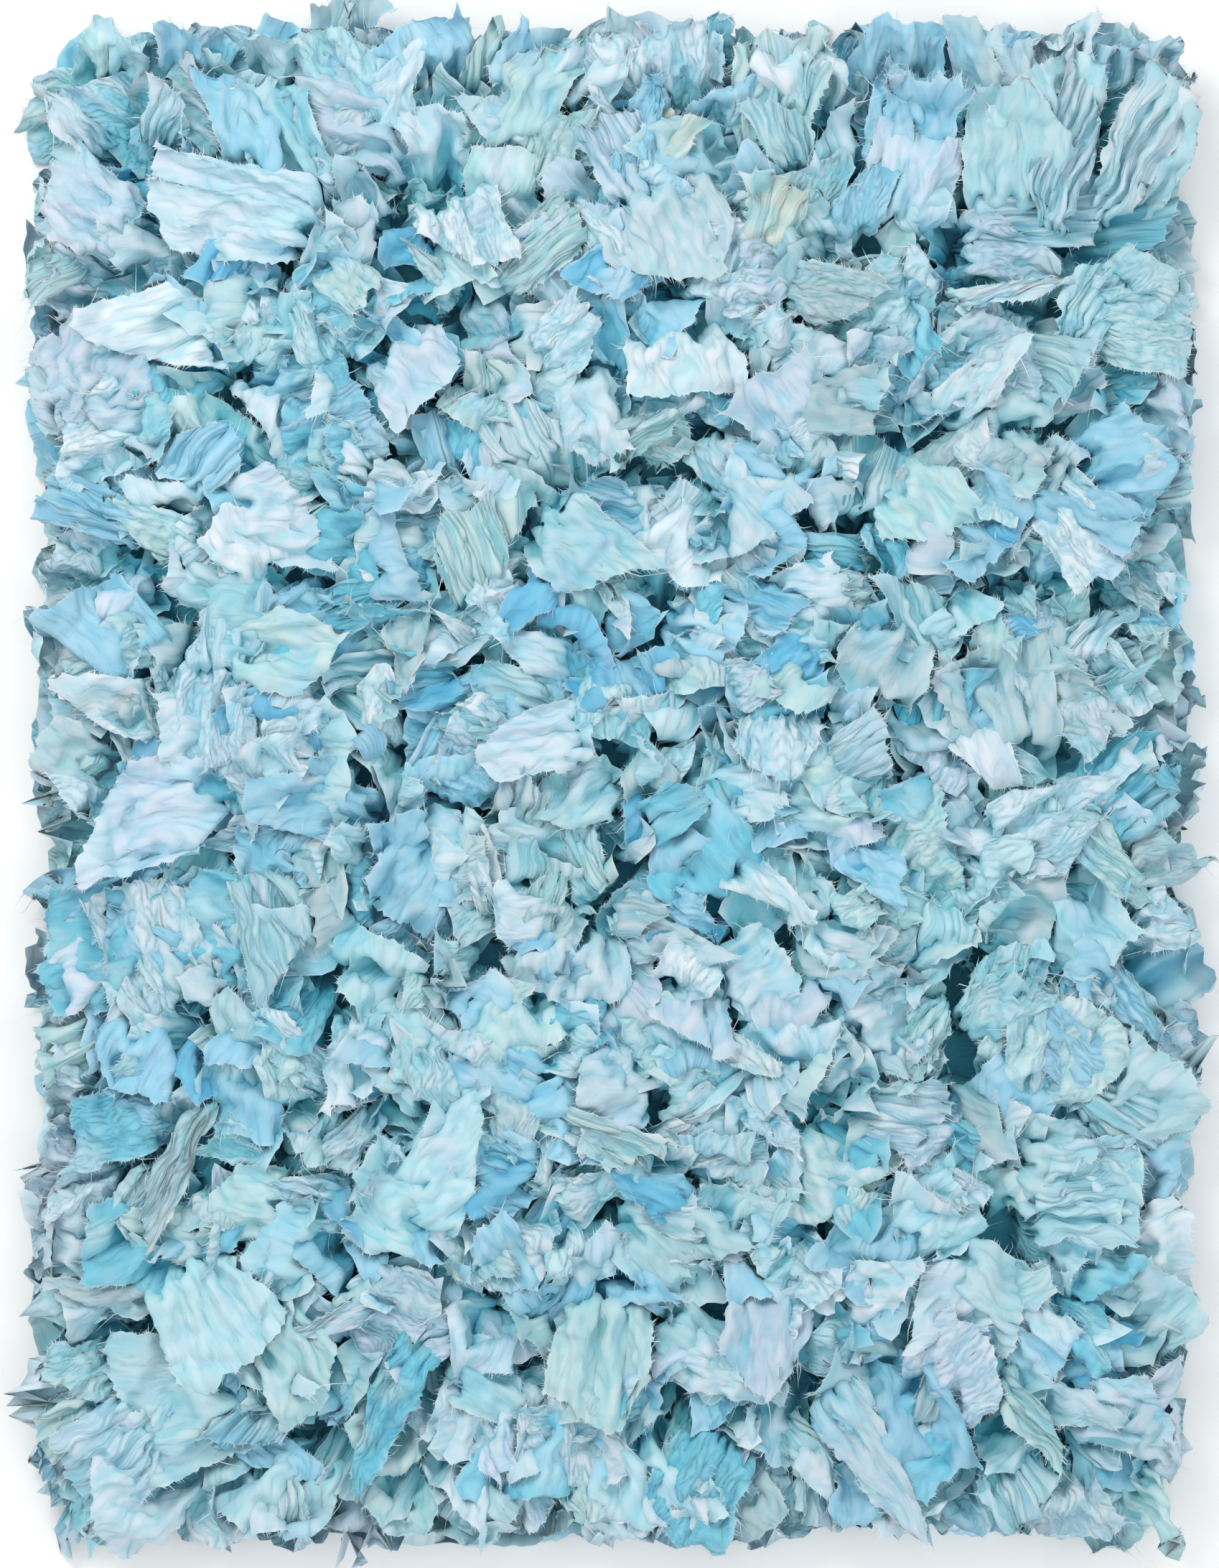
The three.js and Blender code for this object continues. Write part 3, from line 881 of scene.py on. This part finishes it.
# Which rag lies highest over each cell of the rug, and so how much of each one shows from above.
settled = [grid for net in nets for grid in net.points]
FINE_ROWS, FINE_COLUMNS = 34, 30
fine_u, fine_v = np.meshgrid(np.linspace(0, 1, FINE_ROWS), np.linspace(0, 1, FINE_COLUMNS), indexing="ij")
cells, heights, owners = [], [], []
for number, grid in enumerate(settled):
    surface = on_net(grid, fine_u, fine_v)
    cells.append(in_cells(surface).ravel())
    heights.append(surface[..., 2].ravel())
    owners.append(np.full(surface[..., 2].size, number))
cells, heights, owners = np.concatenate(cells), np.concatenate(heights), np.concatenate(owners)
order = np.lexsort((heights, cells))
highest = np.append(cells[order][1:] != cells[order][:-1], True)
top_cells, top_owners = cells[order][highest], owners[order][highest]
shown = np.bincount(top_owners, minlength=len(rags)) * CELL**2
roof = np.zeros(map_size.prod())
roof[top_cells] = heights[order][highest]
roof = roof.reshape(map_size)
ROOF_BLUR, ROOF_REACH = 0.010, 14
window = np.exp(-((np.arange(-ROOF_REACH, ROOF_REACH + 1) * CELL / ROOF_BLUR) ** 2) / 2)
window /= window.sum()
for axis in (0, 1):
    roof = np.apply_along_axis(
        lambda line: np.convolve(np.pad(line, ROOF_REACH, mode="edge"), window, "valid"), axis, roof)


# The distance between points of cloth that shows from above, shows a little, or doesn't show, and the area
# that each takes.
SEEN_STEP, PARTLY_STEP, HIDDEN_STEP = 0.0032, 0.0050, 0.0085
SEEN_AREA, PARTLY_AREA = 520e-6, 120e-6
ROOT_SHARE = 0.35
# Creases that run along the strip: their height, and the least and most between them.
CREASES = [(0.0013, 0.007, 0.016), (0.0013, 0.015, 0.045)]
CREASE_LEVEL, CREASE_STRETCH = 0.6, 0.35
CURL_END, CURL_SIDE, CURL_FROM = 0.007, 0.005, 0.7
# Cloth nears the ends of the space that the rug takes softly, from SOFT_TOP and SOFT_SIDE on.
TOP, SOFT_TOP = 0.0655, 0.0575
FARTHEST = np.array([0.384, 0.498])
SOFT_SIDE = FARTHEST - 0.009
LOWEST_CLOTH = 0.0006


def cut_rag(rag, grid, area_shown):
    """Makes a rag's cloth from its net: its points, and its flat places along and across."""
    step = SEEN_STEP if area_shown > SEEN_AREA else PARTLY_STEP if area_shown > PARTLY_AREA else HIDDEN_STEP
    root_rows = int(ROOT_SHARE * rag.long / HIDDEN_STEP) + 1
    tip_rows = int((1 - ROOT_SHARE) * rag.long / step) + 1
    along = np.append(np.linspace(0, ROOT_SHARE, root_rows, endpoint=False),
                      np.linspace(ROOT_SHARE, 1, tip_rows))
    u, v = np.meshgrid(along, np.linspace(-1, 1, int(rag.wide / step) + 2), indexing="ij")
    u, v = torn(u, v)
    surface = on_net(grid, u, (v + 1) / 2)
    s, t = u * rag.long, v * rag.wide / 2
    crinkle = 0
    for height, least, most in CREASES:
        ridges = CREASE_LEVEL - np.abs(waves(s * CREASE_STRETCH, t, least, most, 3))
        crinkle = crinkle + height * ridges
    end, *sides = draw.normal(0, (CURL_END, CURL_SIDE, CURL_SIDE))
    curl = end * smooth_step((u - CURL_FROM) / (1 - CURL_FROM)) ** 2
    curl = curl + np.where(v < 0, *sides) * np.abs(v) ** 6 * u
    normal = normals_of(surface)
    curl = np.where(normal[..., 2] < 0, -curl, curl)
    surface = surface + normal * (crinkle + curl)[..., None]
    surface[..., 2] = np.maximum(eased(surface[..., 2], SOFT_TOP, TOP), LOWEST_CLOTH)
    surface[..., :2] = np.sign(surface[..., :2]) * eased(np.abs(surface[..., :2]), SOFT_SIDE, FARTHEST)
    return surface, s, t, crinkle


# The rags, dyed and painted with shade
# Dip-dyed in bundles, so that each rag is unevenly pale. Its colour is also painted darker and bluer at its
# root, on its steep faces, deep in the pile and in its creases: painted shade. Muslin is matt, with few
# creases, gauze is crinkled all over, and crepe is drawn into pleats along the strip.
DYES = {
    "ice": "d0dfe9",
    "white": "dce5ec",
    "lilac": "ccd8e6",
    "aqua": "c0dce4",
    "mint": "c3dbde",
    "grey": "bcced5",
    "sky": "a6d1e6",
    "turquoise": "86cade",
    "blue": "7cc0e0",
    "cream": "d8dad1",
}
dyes = {name: np.array(linear(colour)) for name, colour in DYES.items()}
DYE_SHARES = {"ice": 26, "white": 4, "lilac": 7, "aqua": 24, "mint": 9, "grey": 8, "sky": 15,
              "turquoise": 7, "blue": 2.5}
BLOTCH_SHARES = {"ice": 0.25, "aqua": 0.2, "sky": 0.25, "mint": 0.08, "turquoise": 0.12, "lilac": 0.1}
dye_chances = np.array(list(DYE_SHARES.values())) / sum(DYE_SHARES.values())
# How pale a rag is beside its dye, and how much of a second dye shows in its blotches.
STRENGTHS = (0.88, 1.0)
MOST_BLOTCHED = 0.6
# What is left of red, green and blue at each step of painted shade, which deepens the colour as shade does
# in dyed cloth.
SHADE_TINT = np.array([0.42, 0.925, 0.985])
# How much painted shade a rag gets at its root, where it is steep, DEEP in the pile and in its creases, and
# how much of that is left in the pale rim of the rug.
AT_ROOT, WHERE_STEEP, DEEP_DOWN, IN_CREASE = 0.35, 0.6, 1.2, 0.25
ROOT_END = 0.6
DEEP = 0.028
PALE_RIM, RIM_WIDTH = 0.15, 0.08
# How pale lint is, with painted light that comes through its thin threads, and how much of it there is at a
# torn edge.
LINT_AND_LIGHT, LINT_AND_LIGHT_SHARE = 0.85, 0.22


def dye_and_shade_rag(rag, surface, s, t, crinkle):
    """The colour of each point of a rag: its dye, with painted shade that makes it darker at its root, where
    it is steep, in its creases and deep in the pile, and paler at its torn edges, for lint and as painted
    light through the threads."""
    first = rag.dye or draw.choice(list(DYE_SHARES), p=dye_chances)
    if first in ("turquoise", "blue") and not rag.dye and (ground_half - np.abs(rag.root)).min() < AT_EDGE:
        first = "ice"
    second = draw.choice(list(BLOTCH_SHARES), p=list(BLOTCH_SHARES.values()))
    blotch = MOST_BLOTCHED * smooth_step(0.15 + 0.55 * waves(s, t, 0.03, 0.09, 3))[..., None]
    colour = dyes[first] * (1 - blotch) + dyes[second] * blotch
    depth = roof.ravel()[in_cells(surface)] - surface[..., 2]
    inward = smooth_step((REACH - np.abs(surface[..., :2])).min(axis=-1) / RIM_WIDTH)
    steep = 1 - np.abs(normals_of(surface)[..., 2])
    # Painted shade: darker and bluer at the root, on steep faces, deep under the pile's roof and in creases,
    # less so at the rim.
    shade_steps = AT_ROOT * (1 - smooth_step(s / (ROOT_END * rag.long))) + WHERE_STEEP * steep**1.5
    shade_steps = (PALE_RIM + (1 - PALE_RIM) * inward) * (shade_steps + DEEP_DOWN * smooth_step(depth / DEEP))
    shade_steps = shade_steps + IN_CREASE * smooth_step(0.4 - crinkle / 0.002)
    colour = colour * SHADE_TINT ** shade_steps[..., None] * draw.uniform(*STRENGTHS)
    # Torn edges painted paler: pale lint, and painted light that comes through the thin threads.
    for edge in (np.s_[-1], np.s_[:, 0], np.s_[:, -1]):
        colour[edge] += LINT_AND_LIGHT_SHARE * (LINT_AND_LIGHT - colour[edge])
    return colour


# Creases are painted darker towards this colour: dye pooled in them, and painted shade.
CREASE_EDGES = 0.65, 1.0
CREASE_DYE_AND_SHADE = np.array([0.55, 0.80, 0.88])


def dyed_cotton(name, pitch, along, depth, stain_and_shade):
    """Cotton cloth: the dye and painted shade of the mesh, and sharp creases a pitch apart and drawn out
    along the strip, which are painted darker, as dye pooled there and as painted shade. Single yarns are too
    fine to show."""
    material, tree = new_material(name)
    dye = add_node(tree, "ShaderNodeAttribute", {"attribute_name": "dye"})
    flat = add_node(tree, "ShaderNodeUVMap", {"uv_map": "cloth"})
    drawn = add_node(tree, "ShaderNodeMapping", {"Scale": (1.0, along, 1.0)}, {"Vector": flat.outputs["UV"]})
    crease = add_node(
        tree, "ShaderNodeTexNoise",
        {"noise_type": "RIDGED_MULTIFRACTAL", "Scale": 1 / pitch, "Detail": 1.0, "Offset": 1.0},
        {"Vector": drawn.outputs["Vector"]})
    # Painted shade and pooled dye in the creases.
    deeper = add_node(tree, "ShaderNodeValToRGB", links={"Fac": crease.outputs["Fac"]})
    deeper.color_ramp.elements[0].position, deeper.color_ramp.elements[1].position = CREASE_EDGES
    deeper.color_ramp.elements[0].color = (1, 1, 1, 1)
    deeper.color_ramp.elements[1].color = (*(1 - stain_and_shade * (1 - CREASE_DYE_AND_SHADE)), 1)
    colour = add_node(tree, "ShaderNodeVectorMath", {"operation": "MULTIPLY"},
                      {0: dye.outputs["Color"], 1: deeper.outputs["Color"]})
    high = add_node(tree, "ShaderNodeMath", {"operation": "MULTIPLY", 1: -depth}, {0: crease.outputs["Fac"]})
    bump = add_node(tree, "ShaderNodeBump", {"Strength": 1.0, "Distance": 1.0},
                    {"Height": high.outputs["Value"]})
    cotton = add_node(tree, "ShaderNodeBsdfPrincipled",
                      {"Roughness": 0.92, "Sheen Weight": 0.25, "Specular IOR Level": 0.2},
                      {"Base Color": colour.outputs["Vector"], "Normal": bump.outputs["Normal"]})
    add_node(tree, "ShaderNodeOutputMaterial", links={"Surface": cotton.outputs["BSDF"]})
    return material


cloth_paints = {
    "muslin": dyed_cotton("dyed_cotton_muslin", pitch=0.0090, along=0.35, depth=0.0008, stain_and_shade=0.32),
    "gauze": dyed_cotton("dyed_cotton_gauze", pitch=0.0055, along=0.5, depth=0.0010, stain_and_shade=0.45),
    "crepe": dyed_cotton("dyed_cotton_crepe", pitch=0.0060, along=0.06, depth=0.0013, stain_and_shade=0.55),
}
SWAY, SWAY_WAVES = 0.003, (0.02, 0.06)
BAKE_EDGE = 0.04
MOST_TRIANGLES = 190000


def join_rags(name, group, cloth):
    """Joins a group of rags into one piece, with their dye and painted shade, their flat places and a map
    for baking.
    """
    places, faces, colours, flats, bakes, count = [], [], [], [], [], 0
    cells = math.ceil(math.sqrt(len(group)))
    for number, (surface, s, t, colour) in enumerate(group):
        rows, columns = s.shape
        index = np.arange(rows * columns).reshape(rows, columns) + count
        faces.append(grid_faces(index)[:, ::-1])
        places.append(surface.reshape(-1, 3))
        colours.append(colour.reshape(-1, 3))
        sway = SWAY * waves(s, t, *SWAY_WAVES, 2)
        flats.append(np.stack([t + sway + number, s], axis=-1).reshape(-1, 2))
        across, along = (np.linspace(BAKE_EDGE, 1 - BAKE_EDGE, many) for many in (columns, rows))
        across, along = np.meshgrid(across, along)
        corner = np.array([number % cells, number // cells])
        bakes.append(((np.stack([across, along], axis=-1) + corner) / cells).reshape(-1, 2))
        count += rows * columns
    faces = np.concatenate(faces)
    piece = mesh_object(name, np.concatenate(places), faces, cloth_paints[cloth])
    colours = np.concatenate(colours)
    # The dye attribute holds each rag's dye with its painted shade and its paler painted edges.
    dye = piece.data.attributes.new("dye", "FLOAT_COLOR", "POINT")
    dye.data.foreach_set("color", np.insert(colours, 3, 1, axis=1).astype(f32).ravel())
    for layer_name, flat in (("cloth", flats), ("OFBake", bakes)):
        layer = piece.data.uv_layers.new(name=layer_name)
        layer.data.foreach_set("uv", np.concatenate(flat)[faces.ravel()].astype(f32).ravel())
    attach(piece, "root")
    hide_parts("rag_pile")
    return piece


pile_pieces = []
edges = []
for cloth in CLOTHS:
    group, triangles = [], 0
    for number, (rag, grid) in enumerate(zip(rags, settled)):
        if rag.cloth != cloth:
            continue
        surface, s, t, crinkle = cut_rag(rag, grid, shown[number])
        colour = dye_and_shade_rag(rag, surface, s, t, crinkle)
        size = 2 * (s.shape[0] - 1) * (s.shape[1] - 1)
        if triangles + size > MOST_TRIANGLES:
            pile_pieces.append(join_rags(f"{cloth}_rags_{len(pile_pieces)}", group, cloth))
            group, triangles = [], 0
        group.append((surface, s, t, colour))
        triangles += size
        if shown[number] > SEEN_AREA:
            edges.append((surface, s, t, colour))
    pile_pieces.append(join_rags(f"{cloth}_rags_{len(pile_pieces)}", group, cloth))


# The frayed edges
# Where a rag is torn, the ends of its cross threads stand out as a soft fringe, a few millimetres long.
# They are cotton yarn, still held by the weave, and drawn thicker than real yarn so that they show.
FRAY_STEP, FRAY_WIDTH = 0.0011, 0.0005
FRAY_SHORT, FRAY_LONG = 0.0014, 0.0042
FRAY_SPREAD = 0.4
STRAY_SHARE, STRAY_SHORT, STRAY_LONG, STRAY_CURL = 0.05, 0.3, 0.013, 0.6
THICK_PATCHES = 9
LOWEST_THREAD = 0.0005
fray_points, fray_colours = [], []


def add_threads(base, out, shade, reach, curl):
    """Thin tapered threads from the edge of a rag, in one straight part or in two that bend."""
    side = np.cross(out, draw.normal(0, 1, out.shape))
    side *= FRAY_WIDTH / 2 / (np.linalg.norm(side, axis=1, keepdims=True) + 1e-9)
    back = base - out * FRAY_WIDTH
    if curl:
        bend = draw.normal(0, curl, out.shape)
        knee = base + (out + 0.15 * bend) * 0.5 * reach
        tip = base + (out + bend) * reach
        corners = [back - side, back + side, knee + 0.8 * side, back - side, knee + 0.8 * side,
                   knee - 0.8 * side, knee - 0.8 * side, knee + 0.8 * side, tip]
    else:
        corners = [back - side, back + side, base + out * reach]
    blade = np.stack(corners, axis=1)
    blade[..., 2] = np.clip(blade[..., 2], LOWEST_THREAD, TOP)
    blade[..., :2] = np.clip(blade[..., :2], -FARTHEST, FARTHEST)
    fray_points.append(blade.reshape(-1, 3))
    # Threads painted paler than their rag: pale lint, and painted light through the thin yarn.
    fray_colours.append(np.repeat(shade + LINT_AND_LIGHT_SHARE * (LINT_AND_LIGHT - shade), len(corners), axis=0))


for surface, s, t, colour in edges:
    start = len(s) // 3
    inner = np.concatenate([surface[start:, 1], surface[-2, 1:-1], surface[start:, -2][::-1]])
    edge = np.concatenate([surface[start:, 0], surface[-1, 1:-1], surface[start:, -1][::-1]])
    tint = np.concatenate([colour[start:, 0], colour[-1, 1:-1], colour[start:, -1][::-1]])
    run = np.concatenate([[0], np.cumsum(np.linalg.norm(np.diff(edge, axis=0), axis=1))])
    number = int(run[-1] / FRAY_STEP)
    at = draw.uniform(0, run[-1], number)
    thick = np.interp(at / run[-1], np.linspace(0, 1, THICK_PATCHES), draw.random(THICK_PATCHES))
    at = at[draw.random(number) < 0.2 + 1.1 * thick]
    base, behind, shade = (
        np.stack([np.interp(at, run, line[:, k]) for k in range(3)], axis=-1) for line in (edge, inner, tint)
    )
    out = base - behind
    out /= np.linalg.norm(out, axis=1, keepdims=True) + 1e-9
    out += draw.normal(0, FRAY_SPREAD, out.shape)
    reach = FRAY_SHORT + (FRAY_LONG - FRAY_SHORT) * draw.random((len(at), 1))
    add_threads(base, out, shade, reach, 0)
    stray = draw.random(len(at)) < STRAY_SHARE
    reach = STRAY_LONG * draw.uniform(STRAY_SHORT, 1, (stray.sum(), 1))
    add_threads(base[stray], out[stray], shade[stray], reach, STRAY_CURL)
fray_points, fray_colours = np.concatenate(fray_points), np.concatenate(fray_colours)

# Cotton yarn pulled out of the cloth: matt and softly bright, with the dye of its rag painted paler, for
# lint and as painted light that comes through the thin yarn.
thread_paint, tree = new_material("dyed_cotton_thread")
dye = add_node(tree, "ShaderNodeAttribute", {"attribute_name": "dye"})
thread = add_node(tree, "ShaderNodeBsdfPrincipled", {"Roughness": 0.95, "Sheen Weight": 0.3},
                  {"Base Color": dye.outputs["Color"]})
add_node(tree, "ShaderNodeOutputMaterial", links={"Surface": thread.outputs["BSDF"]})
fray = mesh_object("frayed_threads", fray_points, np.arange(len(fray_points)).reshape(-1, 3), thread_paint)
dye = fray.data.attributes.new("dye", "FLOAT_COLOR", "POINT")
dye.data.foreach_set("color", np.insert(fray_colours, 3, 1, axis=1).astype(f32).ravel())
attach(fray, "root")
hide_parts("rag_pile")

sizes = {"cad": cad_box, "visual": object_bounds()}
{name: [list(corner) for corner in box] for name, box in sizes.items()}
